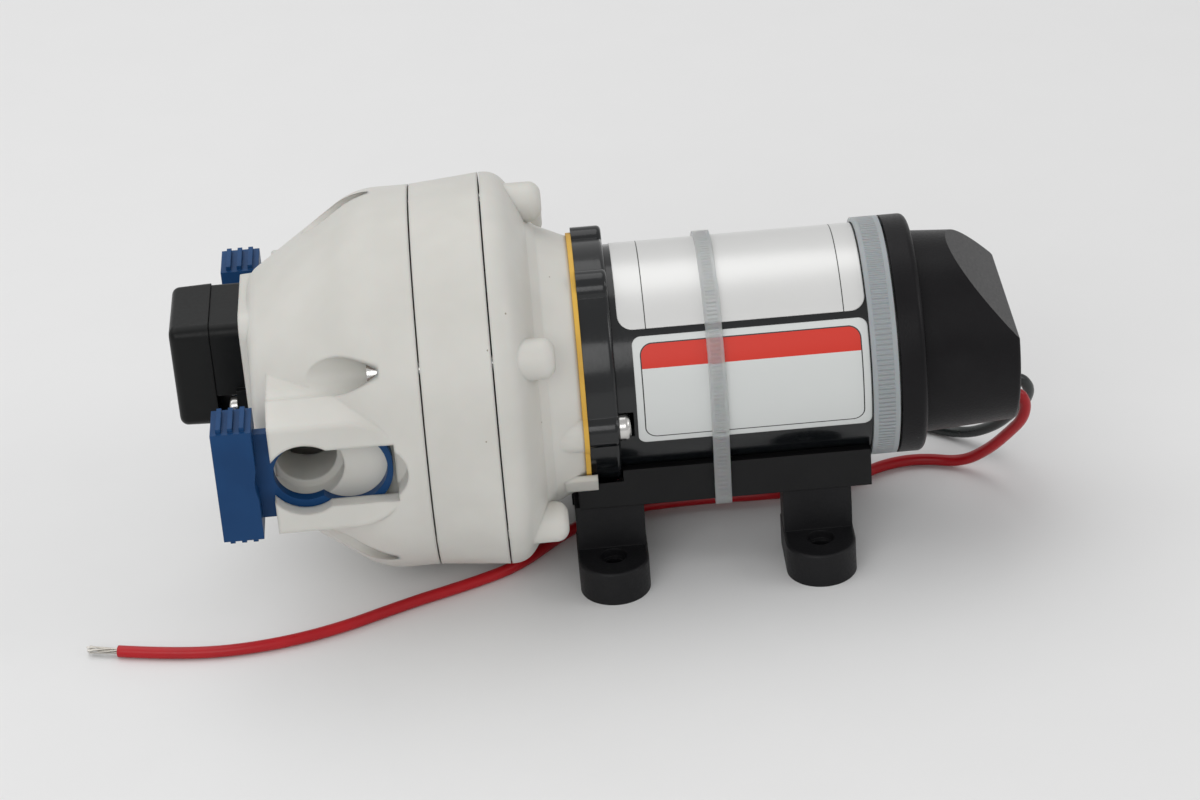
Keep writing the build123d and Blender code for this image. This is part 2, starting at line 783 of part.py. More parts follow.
with BuildPart() as switch_cover:
    with BuildSketch(across(switch_x - fit_gap)):
        with Locations((0, switch_centre_lift)):
            RectangleRounded(
                switch_width + 2 * switch_lip, switch_height + 2 * switch_lip, switch_corner + switch_lip
            )
    extrude(amount=-switch_cover_length + fit_gap, taper=2)
    fillet(switch_cover.faces().sort_by(Axis.X)[0].edges(), 2.2)
    with BuildSketch(across(switch_x - fit_gap)):
        with Locations((0, switch_centre_lift)):
            RectangleRounded(switch_width - 2 * switch_wall, switch_height - 2 * switch_wall, switch_corner / 2)
    extrude(amount=-switch_cover_length + switch_wall + 0.6, mode=Mode.SUBTRACT)
    # Moulding gate left at the middle of the front
    with BuildSketch(across(switch_end_x + 0.2)):
        with Locations((0, switch_centre_lift)):
            Circle(1.1)
    extrude(amount=-0.8)
save(switch_cover, "switch_cover")

with BuildPart() as switch_diaphragm:
    with BuildSketch(across(nose_x - fit_gap)):
        with Locations((0, switch_centre_lift)):
            Circle(5.4)
    extrude(amount=-1)
save(switch_diaphragm, "switch_diaphragm")

plunger_x = nose_x - 1 - 2 * fit_gap - running_gap
with BuildPart() as plunger:
    with BuildSketch(across(plunger_x)):
        with Locations((0, switch_centre_lift)):
            Circle(5.0)
    extrude(amount=-1.2)
    with BuildSketch(across(plunger_x)):
        with Locations((0, switch_centre_lift)):
            Circle(1.8)
    extrude(amount=-6.5)
save(plunger, "switch_plunger")

with BuildPart() as micro_switch:
    with BuildSketch(across(plunger_x - 8.0)):
        with Locations((0, switch_centre_lift)):
            RectangleRounded(12, 20, 1)
    extrude(amount=-6)
    with BuildSketch(across(plunger_x - 8.0)):
        with Locations((0, switch_centre_lift)):
            Circle(1.4)
    extrude(amount=0.4)
save(micro_switch, "micro_switch")

# End cap: a rubber boot with a ring over the can and a slanted face cut across its upper half
with BuildPart() as cap:
    with BuildSketch(across(cap_x)):
        Circle(cap_ring_radius)
    extrude(amount=cap_ring_length)
    fillet(cap.faces().sort_by(Axis.X)[-1].edges(), 1.8)
    with BuildSketch(across(cap_body_x)):
        Circle(cap_radius)
    with BuildSketch(across(cap_end_x)):
        Circle(cap_radius - cap_taper)
    loft()
    with BuildSketch(side_view):
        with BuildLine():
            Polyline(
                (cap_end_x, cap_radius - cap_slant_drop),
                (cap_end_x + 1, cap_radius - cap_slant_drop),
                (cap_end_x + 1, cap_radius + 2),
                (cap_end_x - cap_slant_length - 2 * cap_slant_length / cap_slant_drop, cap_radius + 2),
                close=True,
            )
        make_face()
    extrude(amount=cap_radius, both=True, mode=Mode.SUBTRACT)
    fillet(cap.faces().sort_by(Axis.X)[-1].edges(), 1.0)
    # Hollow that fits over the end of the can
    with BuildSketch(across(cap_x)):
        Circle(can_radius + fit_gap)
    extrude(amount=cap_ring_overlap + fit_gap, mode=Mode.SUBTRACT)
    with BuildSketch(side_view):
        with BuildLine():
            Polyline(
                (cap_x, 0),
                (cap_x, cap_radius - cap_wall),
                (cap_end_x - cap_slant_length - cap_wall - 1, cap_radius - cap_wall - 1),
                (cap_end_x - cap_wall - 2, cap_radius - cap_slant_drop - cap_wall),
                (cap_end_x - cap_wall - 2, 0),
                close=True,
            )
        make_face()
    revolve(axis=shaft_line, mode=Mode.SUBTRACT)
    # Two holes low in the end for the leads
    with BuildSketch(across(cap_end_x)):
        for side in (-1, 1):
            with Locations((side * wire_hole_pitch / 2, -wire_hole_drop)):
                Circle(lead_diameter / 2 + fit_gap)
    extrude(amount=-wire_hole_depth, mode=Mode.SUBTRACT)
save(cap, "end_cap")

# Cradle base: a block hollowed to the can, with a peg hole for each foot
base_centre_x = base_start + base_length / 2
with BuildPart() as base:
    with BuildSketch(across(base_start)):
        with Locations((0, -(base_top_drop + base_bottom_drop) / 2)):
            Rectangle(2 * base_half_width, base_bottom_drop - base_top_drop)
        Circle(can_radius + fit_gap, mode=Mode.SUBTRACT)
    extrude(amount=base_length)
    # Room for the bracket and the gasket flange at the head end
    with BuildSketch(across(base_start)):
        Circle(gasket_radius + running_gap)
    extrude(amount=can_x - base_start + running_gap, mode=Mode.SUBTRACT)
    with BuildSketch(Plane.XY.offset(axis_height - base_bottom_drop)):
        with GridLocations(foot_spacing_x, foot_leg_front + foot_leg_back, 2, 2):
            Circle(foot_peg_radius + fit_gap)
    extrude(amount=foot_peg_height + 0.5, mode=Mode.SUBTRACT)
save(base, "cradle_base")

# Rubber feet: a leg under the base and a round tab with a recessed screw hole
leg_top = axis_height - base_bottom_drop


def make_foot(end, side):
    """One foot. end is -1 at the head and 1 at the motor's end, side is -1 in front and 1 behind."""
    foot_x = end * foot_spacing_x / 2
    hole_y = side * foot_spacing_y / 2
    leg_y = side * (foot_leg_front + foot_leg_back) / 2
    with BuildPart() as foot:
        with BuildSketch(Plane.XY):
            with Locations((foot_x, hole_y)):
                Circle(foot_tab_radius)
            with Locations((foot_x, (hole_y + side * foot_leg_back) / 2)):
                Rectangle(2 * foot_tab_radius, abs(hole_y) - foot_leg_back)
        extrude(amount=foot_tab_height)
        fillet(foot.faces().sort_by(Axis.Z)[-1].edges().filter_by(GeomType.CIRCLE), 0.8)
        with BuildSketch(Plane.XY):
            with Locations((foot_x, leg_y)):
                Rectangle(foot_leg_width, foot_leg_front - foot_leg_back)
        extrude(amount=leg_top)
        with BuildSketch(Plane.XY.offset(leg_top)):
            with Locations((foot_x, leg_y)):
                Circle(foot_peg_radius)
        extrude(amount=foot_peg_height)
        with Locations((foot_x, hole_y, foot_tab_height)):
            CounterBoreHole(foot_hole_radius, foot_recess_radius - 1.6, foot_recess_depth)
    return foot


foot_names = {(-1, -1): "foot_head_front", (-1, 1): "foot_head_rear",
              (1, -1): "foot_motor_front", (1, 1): "foot_motor_rear"}
for (end, side), foot_name in foot_names.items():
    save(make_foot(end, side), foot_name)


# Cable ties: the wide one grips the can, the narrow one also holds the cradle base to it
def make_tie(x, width, under_base):
    """A taut strap with its locking head on the far side."""
    with BuildPart() as tie:
        with BuildSketch(across(x)) as loop:
            Circle(can_radius + running_gap)
            if under_base:
                with Locations((0, -(base_top_drop + base_bottom_drop) / 2)):
                    Rectangle(2 * (base_half_width + running_gap), base_bottom_drop - base_top_drop + 2 * running_gap)
                make_hull()
            inside = loop.sketch_local
            offset(amount=tie_thickness, kind=Kind.ARC)
            add(inside, mode=Mode.SUBTRACT)
        extrude(amount=width)
        with BuildSketch(across(x - tie_head_margin)):
            with Locations(Location((0, 0, 0), (0, 0, tie_head_angle))):
                with Locations((can_radius + running_gap + tie_head_height / 2, 0)):
                    Rectangle(tie_head_height, tie_head_length)
            Circle(can_radius + running_gap, mode=Mode.SUBTRACT)
        extrude(amount=width + 2 * tie_head_margin)
    return tie


save(make_tie(narrow_tie_x, narrow_tie_width, True), "narrow_tie")
save(make_tie(wide_tie_x, wide_tie_width, False), "wide_tie")

# Leads: loose wires that leave the end cap, drop to the surface and lie along it
lead_exit_x = cap_end_x - wire_hole_depth
lead_exit_z = axis_height - wire_hole_drop
on_floor = lead_diameter / 2 + 0.1
red_route = [
    (lead_exit_x, -wire_hole_pitch / 2, lead_exit_z),
    (86.0, -wire_hole_pitch / 2, lead_exit_z),
    (88.2, -3.5, 31.0),
    (87.6, -1.2, 24.8),
    (84.8, 4.0, 18.0),
    (80.0, 10.5, 9.0),
    (73.0, 16.5, on_floor),
    (62.0, 20.5, on_floor),
    (51.0, 19.0, on_floor),
    (41.0, 12.5, on_floor),
    (24.0, 8.0, on_floor),
    (-4.0, 9.5, on_floor),
    (-29.0, 7.0, on_floor),
    (-42.0, -4.0, on_floor),
    (-54.0, -17.5, on_floor),
    (-68.0, -24.5, on_floor),
    (-84.0, -31.0, on_floor),
    (-106.0, -42.0, on_floor),
    (-128.0, -46.8, on_floor),
    (-147.0, -45.8, on_floor),
    (-162.0, -42.0, on_floor),
]
black_route = [
    (lead_exit_x, wire_hole_pitch / 2, lead_exit_z),
    (87.4, wire_hole_pitch / 2, lead_exit_z),
    (90.6, 5.8, 30.6),
    (90.4, 9.4, 24.8),
    (88.0, 14.2, 18.6),
    (83.0, 22.5, 8.8),
    (75.0, 31.5, on_floor),
    (62.0, 41.0, on_floor),
    (44.0, 47.0, on_floor),
    (16.0, 44.5, on_floor),
    (-16.0, 47.0, on_floor),
    (-44.0, 57.0, on_floor),
    (-66.0, 58.0, on_floor),
    (-84.0, 49.0, on_floor),
    (-99.0, 44.0, on_floor),
    (-112.0, 49.0, on_floor),
]


def lead_line(route):
    """Straight runs joined by arcs, each as large as its two runs allow."""
    points = [Vector(*point) for point in route]
    radii = []
    for before, corner, after in zip(points, points[1:], points[2:]):
        run_in = corner - before
        run_out = after - corner
        half_turn = math.radians(run_in.get_angle(run_out)) / 2
        radii.append(0.45 * min(run_in.length, run_out.length) / math.tan(half_turn))
    print("lead arcs, mm:", [round(radius, 1) for radius in radii])
    return FilletPolyline(*points, radius=radii)


def make_lead(route):
    with BuildPart() as lead:
        with BuildLine() as path:
            line = lead_line(route)
        with BuildSketch(Plane(origin=path.line @ 0, z_dir=path.line % 0)):
            Circle(lead_diameter / 2)
        sweep(path=path.line)
    section = math.pi * lead_diameter ** 2 / 4
    print("lead length, mm:", round(line.length, 1))
    print("volume over section times length:", round(lead.part.volume / (section * line.length), 4))
    return lead


def make_strands(route):
    """The stripped end of a lead: a tinned bundle in line with its last run."""
    last = Vector(*route[-1])
    with BuildPart() as strands:
        with BuildSketch(Plane(origin=last, z_dir=last - Vector(*route[-2]))):
            Circle(lead_strand_diameter / 2)
        extrude(amount=lead_strip_length)
    return strands


for colour, route in (("red", red_route), ("black", black_route)):
    save(make_lead(route), f"{colour}_lead")
    save(make_strands(route), f"{colour}_lead_end")
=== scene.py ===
import math

import bpy
from mathutils import Matrix, Vector


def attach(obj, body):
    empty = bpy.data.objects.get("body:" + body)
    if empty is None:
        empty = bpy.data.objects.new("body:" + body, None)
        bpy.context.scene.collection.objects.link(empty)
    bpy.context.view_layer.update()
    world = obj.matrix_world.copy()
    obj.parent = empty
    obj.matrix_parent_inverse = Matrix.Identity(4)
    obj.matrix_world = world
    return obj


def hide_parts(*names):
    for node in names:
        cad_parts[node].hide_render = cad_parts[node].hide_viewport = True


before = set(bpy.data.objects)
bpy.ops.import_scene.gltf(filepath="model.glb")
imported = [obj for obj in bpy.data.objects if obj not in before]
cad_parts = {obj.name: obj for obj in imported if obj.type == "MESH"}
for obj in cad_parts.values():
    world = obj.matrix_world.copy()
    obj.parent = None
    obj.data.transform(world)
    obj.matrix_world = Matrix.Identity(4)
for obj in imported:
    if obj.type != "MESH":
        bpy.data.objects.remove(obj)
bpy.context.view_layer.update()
print("frame:", len(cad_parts), "nodes")

# sizes shared with the CAD model, in metres
pump = {"axisHeight": 0.0545, "canRadius": 0.0307, "smoothAngle": 28}


# camera
shot = {
    "lens": 108,
    "distance": 0.973,
    "elevation": 30.0,
    "yaw": 1.2,
    "roll": 4.4,
    "lookX": -0.027,
    "lookDrop": 0.0112,
}


def placeCamera(shot):
    elevation = math.radians(shot["elevation"])
    yaw = math.radians(shot["yaw"])
    roll = math.radians(shot["roll"])
    level = Vector((math.sin(yaw), math.cos(yaw), 0))
    ahead = level * math.cos(elevation) - Vector((0, 0, math.sin(elevation)))
    levelRight = ahead.cross(Vector((0, 0, 1))).normalized()
    levelUp = levelRight.cross(ahead)
    right = levelRight * math.cos(roll) - levelUp * math.sin(roll)
    up = levelUp * math.cos(roll) + levelRight * math.sin(roll)
    target = Vector((shot["lookX"], 0, pump["axisHeight"])) - up * shot["lookDrop"]
    data = bpy.data.cameras.new("photoCamera")
    data.lens = shot["lens"]
    data.sensor_width = 36
    data.clip_start = 0.05
    camera = bpy.data.objects.new("photoCamera", data)
    bpy.context.scene.collection.objects.link(camera)
    turn = Matrix((right, up, -ahead)).transposed().to_4x4()
    camera.matrix_world = Matrix.Translation(target - ahead * shot["distance"]) @ turn
    bpy.context.scene.camera = camera


placeCamera(shot)
print("camera placed")


# leads, in millimetres as in part.py
lead = {
    "diameter": 3.2,
    "sides": 5,  # bevel resolution of the insulation
    "smoothness": 10,  # curve steps between two route points
    "strands": 7,
    "strandDiameter": 0.5,
    "strandSides": 3,
    "strip": 9.0,  # bare length
    "tuck": 0.3,  # start of the strands inside the insulation
    "bundle": 0.62,  # radius of the ring of strands
    "flare": 0.5,
    "twist": 1.9,  # radians over the bare length
    "stagger": 0.03,  # share by which the strands differ in length
    "steps": 5,
}
redRoute = [
    (82.0, -4.0, 35.2),
    (86.0, -4.0, 35.2),
    (88.2, -3.5, 31.0),
    (87.6, -1.2, 24.8),
    (84.8, 4.0, 18.0),
    (80.0, 10.5, 9.0),
    (73.0, 16.5, 1.7),
    (62.0, 20.5, 1.7),
    (51.0, 19.0, 1.7),
    (41.0, 12.5, 1.7),
    (24.0, 8.0, 1.7),
    (-4.0, 9.5, 1.7),
    (-29.0, 7.0, 1.7),
    (-42.0, -4.0, 1.7),
    (-54.0, -17.5, 1.7),
    (-68.0, -24.5, 1.7),
    (-84.0, -31.0, 1.7),
    (-106.0, -42.0, 1.7),
    (-128.0, -46.8, 1.7),
    (-147.0, -45.8, 1.7),
    (-162.0, -42.0, 1.7),
]
blackRoute = [
    (82.0, 4.0, 35.2),
    (87.4, 4.0, 35.2),
    (90.6, 5.8, 30.6),
    (90.4, 9.4, 24.8),
    (88.0, 14.2, 18.6),
    (83.0, 22.5, 8.8),
    (75.0, 31.5, 1.7),
    (62.0, 41.0, 1.7),
    (44.0, 47.0, 1.7),
    (16.0, 44.5, 1.7),
    (-16.0, 47.0, 1.7),
    (-44.0, 57.0, 1.7),
    (-66.0, 58.0, 1.7),
    (-84.0, 49.0, 1.7),
    (-99.0, 44.0, 1.7),
    (-112.0, 49.0, 1.7),
]


def addSpline(curve, places, width):
    spline = curve.splines.new("NURBS")
    spline.points.add(len(places) - 1)
    for point, place in zip(spline.points, places):
        point.co = (place[0] / 1000, place[1] / 1000, place[2] / 1000, 1)
        point.radius = width / 2000  # times the curve's bevel depth of 1
    spline.order_u = 3
    spline.use_endpoint_u = True
    spline.resolution_u = lead["smoothness"]


def newCurve(name, sides):
    curve = bpy.data.curves.new(name, "CURVE")
    curve.dimensions = "3D"
    curve.bevel_depth = 1
    curve.bevel_resolution = sides
    curve.use_fill_caps = True
    piece = bpy.data.objects.new(name, curve)
    bpy.context.scene.collection.objects.link(piece)
    return piece


def makeStrands(name, route):
    last = Vector(route[-1])
    along = (last - Vector(route[-2])).normalized()
    across = along.cross(Vector((0, 0, 1))).normalized()
    above = across.cross(along)
    piece = newCurve(name, lead["strandSides"])
    for number in range(lead["strands"]):
        turn = 2 * math.pi * number / (lead["strands"] - 1)
        reach = 0 if number == 0 else lead["bundle"]
        length = lead["strip"] * (1 - lead["stagger"] * (number % 3))
        places = []
        for step in range(lead["steps"] + 1):
            share = step / lead["steps"]
            spread = reach * (1 + lead["flare"] * share * share)
            angle = turn + lead["twist"] * share
            middle = last + along * (length * share - lead["tuck"])
            places.append(middle + across * spread * math.cos(angle) + above * spread * math.sin(angle))
        addSpline(piece.data, places, lead["strandDiameter"])
    return piece


leads = {}
for colour, route, length in (("red", redRoute, 0.300), ("black", blackRoute, 0.2477)):
    wire = newCurve(colour + "Wire", lead["sides"])
    addSpline(wire.data, route, lead["diameter"])
    strands = makeStrands(colour + "Strands", route)
    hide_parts(colour + "_lead")
    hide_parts(colour + "_lead_end")
    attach(wire, "root")
    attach(strands, "root")
    leads[colour] = (wire, strands)
print("leads laid")


# labels, bare sheets wrapped round the can; low and high are degrees above the front
sheetMesh = {"across": 40, "round": 72, "smoothAngle": 40}
upperLabel = {
    "left": -0.0222, "right": 0.0430, "low": 42.0, "high": 168.0,
    "corner": 0.0040, "lift": 0.00006, "thick": 0.00012,
}
lowerLabel = {
    "left": -0.0190, "right": 0.0430, "low": -19.0, "high": 38.4,
    "corner": 0.0024, "lift": 0.00006, "thick": 0.00012,
}


def wrapLabel(name, label):
    radius = pump["canRadius"] + label["lift"]
    halfLong = (label["right"] - label["left"]) / 2
    halfHigh = math.radians(label["high"] - label["low"]) * radius / 2
    middleX = (label["right"] + label["left"]) / 2
    middleAngle = math.radians(label["high"] + label["low"]) / 2
    bpy.ops.object.select_all(action="DESELECT")
    bpy.ops.mesh.primitive_grid_add(
        x_subdivisions=sheetMesh["across"], y_subdivisions=sheetMesh["round"], size=2
    )
    sheet = bpy.context.object
    sheet.name = name
    for vertex in sheet.data.vertices:
        u = math.sin(vertex.co.x * math.pi / 2)
        v = math.sin(vertex.co.y * math.pi / 2) * halfHigh
        past = max(0, abs(v) - halfHigh + label["corner"])
        inset = label["corner"] - math.sqrt(max(0, label["corner"] ** 2 - past ** 2))
        angle = middleAngle + v / radius
        x = middleX + u * (halfLong - inset)
        vertex.co = (x, -radius * math.cos(angle), pump["axisHeight"] + radius * math.sin(angle))
    thickness = sheet.modifiers.new("thickness", "SOLIDIFY")
    thickness.thickness = label["thick"]
    thickness.offset = 1
    bpy.ops.object.modifier_apply(modifier="thickness")
    bpy.ops.object.shade_smooth_by_angle(angle=math.radians(sheetMesh["smoothAngle"]))
    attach(sheet, "root")
    return sheet


upperSheet = wrapLabel("upperLabel", upperLabel)
lowerSheet = wrapLabel("lowerLabel", lowerLabel)
print("labels wrapped")


# shader helpers; a colour Mix node's sockets share their names, so they go by number
mixSockets = {"factor": 0, "under": 6, "over": 7, "result": 2}


def addNode(tree, kind, **values):
    node = tree.nodes.new("ShaderNode" + kind)
    for key, value in values.items():
        if hasattr(node, key):
            setattr(node, key, value)
        else:
            node.inputs[key.replace("_", " ").title()].default_value = value
    return node


def newGroup(name, outputs):
    group = bpy.data.node_groups.new(name, "ShaderNodeTree")
    for label, kind in outputs:
        group.interface.new_socket(label, in_out="OUTPUT", socket_type="NodeSocket" + kind)
    return group, group.nodes.new("NodeGroupOutput")


def makeSurfaceGroup(name, skin):
    # slow tone, fine grain and a bumped normal with softened edges
    group, out = newGroup(name, [("Tone", "Float"), ("Grain", "Float"), ("Normal", "Vector")])
    places = addNode(group, "TexCoord")
    tone = addNode(group, "TexNoise", scale=skin["toneScale"], detail=3.0, roughness=0.55)
    grain = addNode(group, "TexNoise", scale=skin["grainScale"], detail=2.0, roughness=0.6)
    edge = addNode(group, "Bevel", samples=4, radius=skin["softness"])
    bump = addNode(group, "Bump", strength=1.0, distance=skin["grainDepth"])
    for texture in (tone, grain):
        group.links.new(places.outputs["Object"], texture.inputs["Vector"])
    group.links.new(grain.outputs["Fac"], bump.inputs["Height"])
    group.links.new(edge.outputs["Normal"], bump.inputs["Normal"])
    group.links.new(tone.outputs["Fac"], out.inputs["Tone"])
    group.links.new(grain.outputs["Fac"], out.inputs["Grain"])
    group.links.new(bump.outputs["Normal"], out.inputs["Normal"])
    return group


# sparse small specks of dust, and how rare their patches are
dust = {"scale": 170.0, "size": 0.045, "patchScale": 60.0, "rarity": 0.58}


def makeSpeckGroup():
    group, out = newGroup("specks", [("Specks", "Float")])
    places = addNode(group, "TexCoord")
    cells = addNode(group, "TexVoronoi", scale=dust["scale"], randomness=1.0)
    near = addNode(group, "Math", operation="LESS_THAN")
    near.inputs[1].default_value = dust["size"]
    patch = addNode(group, "TexNoise", scale=dust["patchScale"], detail=1.0)
    rare = addNode(group, "Math", operation="GREATER_THAN")
    rare.inputs[1].default_value = dust["rarity"]
    both = addNode(group, "Math", operation="MULTIPLY")
    group.links.new(places.outputs["Object"], cells.inputs["Vector"])
    group.links.new(places.outputs["Object"], patch.inputs["Vector"])
    group.links.new(cells.outputs["Distance"], near.inputs[0])
    group.links.new(patch.outputs["Fac"], rare.inputs[0])
    group.links.new(near.outputs[0], both.inputs[0])
    group.links.new(rare.outputs[0], both.inputs[1])
    group.links.new(both.outputs[0], out.inputs["Specks"])
    return group


def makeRoundMotorGroup():
    # place along the shaft and distance round the can, from the front
    group, out = newGroup("roundMotor", [("Along", "Float"), ("Round", "Float"), ("Place", "Vector")])
    places = addNode(group, "TexCoord")
    split = addNode(group, "SeparateXYZ")
    lift = addNode(group, "Math", operation="SUBTRACT")
    lift.inputs[1].default_value = pump["axisHeight"]
    flip = addNode(group, "Math", operation="MULTIPLY")
    flip.inputs[1].default_value = -1
    angle = addNode(group, "Math", operation="ARCTAN2")
    arc = addNode(group, "Math", operation="MULTIPLY")
    arc.inputs[1].default_value = pump["canRadius"]
    join = addNode(group, "CombineXYZ")
    group.links.new(places.outputs["Object"], split.inputs[0])
    group.links.new(split.outputs["Z"], lift.inputs[0])
    group.links.new(split.outputs["Y"], flip.inputs[0])
    group.links.new(lift.outputs[0], angle.inputs[0])
    group.links.new(flip.outputs[0], angle.inputs[1])
    group.links.new(angle.outputs[0], arc.inputs[0])
    group.links.new(split.outputs["X"], join.inputs["X"])
    group.links.new(arc.outputs[0], join.inputs["Y"])
    group.links.new(split.outputs["X"], out.inputs["Along"])
    group.links.new(arc.outputs[0], out.inputs["Round"])
    group.links.new(join.outputs[0], out.inputs["Place"])
    return group


# grain and tone scales per metre; depth and edge softness in metres
skins = {
    "moulded": {"grainScale": 2600.0, "grainDepth": 0.00002, "toneScale": 38.0, "softness": 0.0012},
    "smooth": {"grainScale": 900.0, "grainDepth": 0.000012, "toneScale": 30.0, "softness": 0.0004},
    "rubber": {"grainScale": 1500.0, "grainDepth": 0.00006, "toneScale": 45.0, "softness": 0.0004},
    "metal": {"grainScale": 1900.0, "grainDepth": 0.000012, "toneScale": 90.0, "softness": 0.0002},
}
groups = {name: makeSurfaceGroup(name, skin) for name, skin in skins.items()}
groups["specks"] = makeSpeckGroup()
groups["roundMotor"] = makeRoundMotorGroup()


def useGroup(tree, name):
    node = tree.nodes.new("ShaderNodeGroup")
    node.node_tree = groups[name]
    return node


def newMaterial(name):
    material = bpy.data.materials.new(name)
    material.use_nodes = True
    tree = material.node_tree
    shader = tree.nodes["Principled BSDF"]
    return material, tree, shader


def paint(tree, mask, under, colour):
    layer = addNode(tree, "Mix", data_type="RGBA")
    layer.inputs[mixSockets["over"]].default_value = (*colour, 1)
    tree.links.new(mask, layer.inputs[mixSockets["factor"]])
    tree.links.new(under, layer.inputs[mixSockets["under"]])
    return layer.outputs[mixSockets["result"]]


# the part of tone and grain over which colour and roughness drift
drift = {"toneLow": 0.36, "toneHigh": 0.66, "grainLow": 0.3, "grainHigh": 0.7}


def surface(name, finish):
    material, tree, shader = newMaterial(name)
    skin = useGroup(tree, finish["skin"])
    mixer = addNode(tree, "ValToRGB")
    mixer.color_ramp.elements[0].position = drift["toneLow"]
    mixer.color_ramp.elements[1].position = drift["toneHigh"]
    mixer.color_ramp.elements[0].color = (*finish["dark"], 1)
    mixer.color_ramp.elements[1].color = (*finish["light"], 1)
    gloss = addNode(tree, "MapRange")
    gloss.inputs["From Min"].default_value = drift["grainLow"]
    gloss.inputs["From Max"].default_value = drift["grainHigh"]
    gloss.inputs["To Min"].default_value = finish["rough"][0]
    gloss.inputs["To Max"].default_value = finish["rough"][1]
    tree.links.new(skin.outputs["Tone"], mixer.inputs["Fac"])
    tree.links.new(skin.outputs["Grain"], gloss.inputs["Value"])
    tree.links.new(mixer.outputs["Color"], shader.inputs["Base Color"])
    tree.links.new(gloss.outputs["Result"], shader.inputs["Roughness"])
    tree.links.new(skin.outputs["Normal"], shader.inputs["Normal"])
    for socket, value in finish.get("sockets", {}).items():
        shader.inputs[socket].default_value = value
    if "specks" in finish:
        dots = useGroup(tree, "specks")
        spotted = paint(tree, dots.outputs["Specks"], mixer.outputs["Color"], finish["specks"])
        tree.links.new(spotted, shader.inputs["Base Color"])
    return material


finishes = {
    "housingWhite": {
        "skin": "moulded", "rough": (0.38, 0.48),
        "dark": (0.61, 0.60, 0.56), "light": (0.66, 0.65, 0.61),
        "specks": (0.30, 0.27, 0.22),
        "sockets": {"Subsurface Weight": 0.08, "Subsurface Scale": 0.002, "Specular IOR Level": 0.45},
    },
    "switchBlack": {
        "skin": "smooth", "rough": (0.30, 0.40),
        "dark": (0.004, 0.0045, 0.0045), "light": (0.007, 0.0075, 0.0075),
        "specks": (0.06, 0.06, 0.06), "sockets": {"Specular IOR Level": 0.18},
    },
    "baseBlack": {
        "skin": "smooth", "rough": (0.38, 0.50),
        "dark": (0.005, 0.005, 0.0055), "light": (0.008, 0.008, 0.0085),
        "sockets": {"Specular IOR Level": 0.22},
    },
    "rubberBlack": {
        "skin": "rubber", "rough": (0.42, 0.56),
        "dark": (0.005, 0.005, 0.006), "light": (0.009, 0.009, 0.010),
        "sockets": {"Specular IOR Level": 0.25},
    },
    "capRubber": {
        "skin": "rubber", "rough": (0.32, 0.42),
        "dark": (0.004, 0.0035, 0.0045), "light": (0.008, 0.0075, 0.0085),
        "specks": (0.04, 0.04, 0.04), "sockets": {"Specular IOR Level": 0.18},
    },
    "motorPaint": {
        "skin": "smooth", "rough": (0.14, 0.22),
        "dark": (0.004, 0.005, 0.006), "light": (0.007, 0.008, 0.009),
        "sockets": {"Specular IOR Level": 0.4, "Coat Weight": 0.25, "Coat Roughness": 0.08},
    },
    "clipBlue": {
        "skin": "smooth", "rough": (0.34, 0.44),
        "dark": (0.005, 0.043, 0.135), "light": (0.008, 0.060, 0.180),
        "sockets": {"Specular IOR Level": 0.20},
    },
    "gasketYellow": {
        "skin": "rubber", "rough": (0.50, 0.65),
        "dark": (0.60, 0.33, 0.04), "light": (0.72, 0.43, 0.06),
        "sockets": {},
    },
    "screwSteel": {
        "skin": "metal", "rough": (0.16, 0.26),
        "dark": (0.58, 0.57, 0.55), "light": (0.74, 0.73, 0.71),
        "sockets": {"Metallic": 1.0},
    },
    "groundSteel": {
        "skin": "metal", "rough": (0.28, 0.42),
        "dark": (0.42, 0.42, 0.43), "light": (0.56, 0.56, 0.57),
        "sockets": {"Metallic": 1.0},
    },
    "copper": {
        "skin": "metal", "rough": (0.25, 0.38),
        "dark": (0.60, 0.30, 0.16), "light": (0.74, 0.40, 0.24),
        "sockets": {"Metallic": 1.0},
    },
    "ferrite": {
        "skin": "rubber", "rough": (0.55, 0.70),
        "dark": (0.035, 0.035, 0.038), "light": (0.060, 0.060, 0.064),
        "sockets": {},
    },
    "innerPlastic": {
        "skin": "moulded", "rough": (0.42, 0.52),
        "dark": (0.60, 0.59, 0.54), "light": (0.68, 0.67, 0.62),
        "sockets": {},
    },
    "valveRubber": {
        "skin": "rubber", "rough": (0.55, 0.68),
        "dark": (0.018, 0.018, 0.019), "light": (0.030, 0.030, 0.031),
        "sockets": {},
    },
    "redWire": {
        "skin": "smooth", "rough": (0.28, 0.38),
        "dark": (0.36, 0.004, 0.009), "light": (0.46, 0.006, 0.012),
        "sockets": {"Specular IOR Level": 0.35},
    },
    "blackWire": {
        "skin": "smooth", "rough": (0.26, 0.36),
        "dark": (0.008, 0.012, 0.012), "light": (0.014, 0.020, 0.019),
        "sockets": {},
    },
    "tinnedStrand": {
        "skin": "metal", "rough": (0.26, 0.40),
        "dark": (0.50, 0.47, 0.42), "light": (0.68, 0.66, 0.62),
        "sockets": {"Metallic": 1.0},
    },
}
materials = {name: surface(name, finish) for name, finish in finishes.items()}


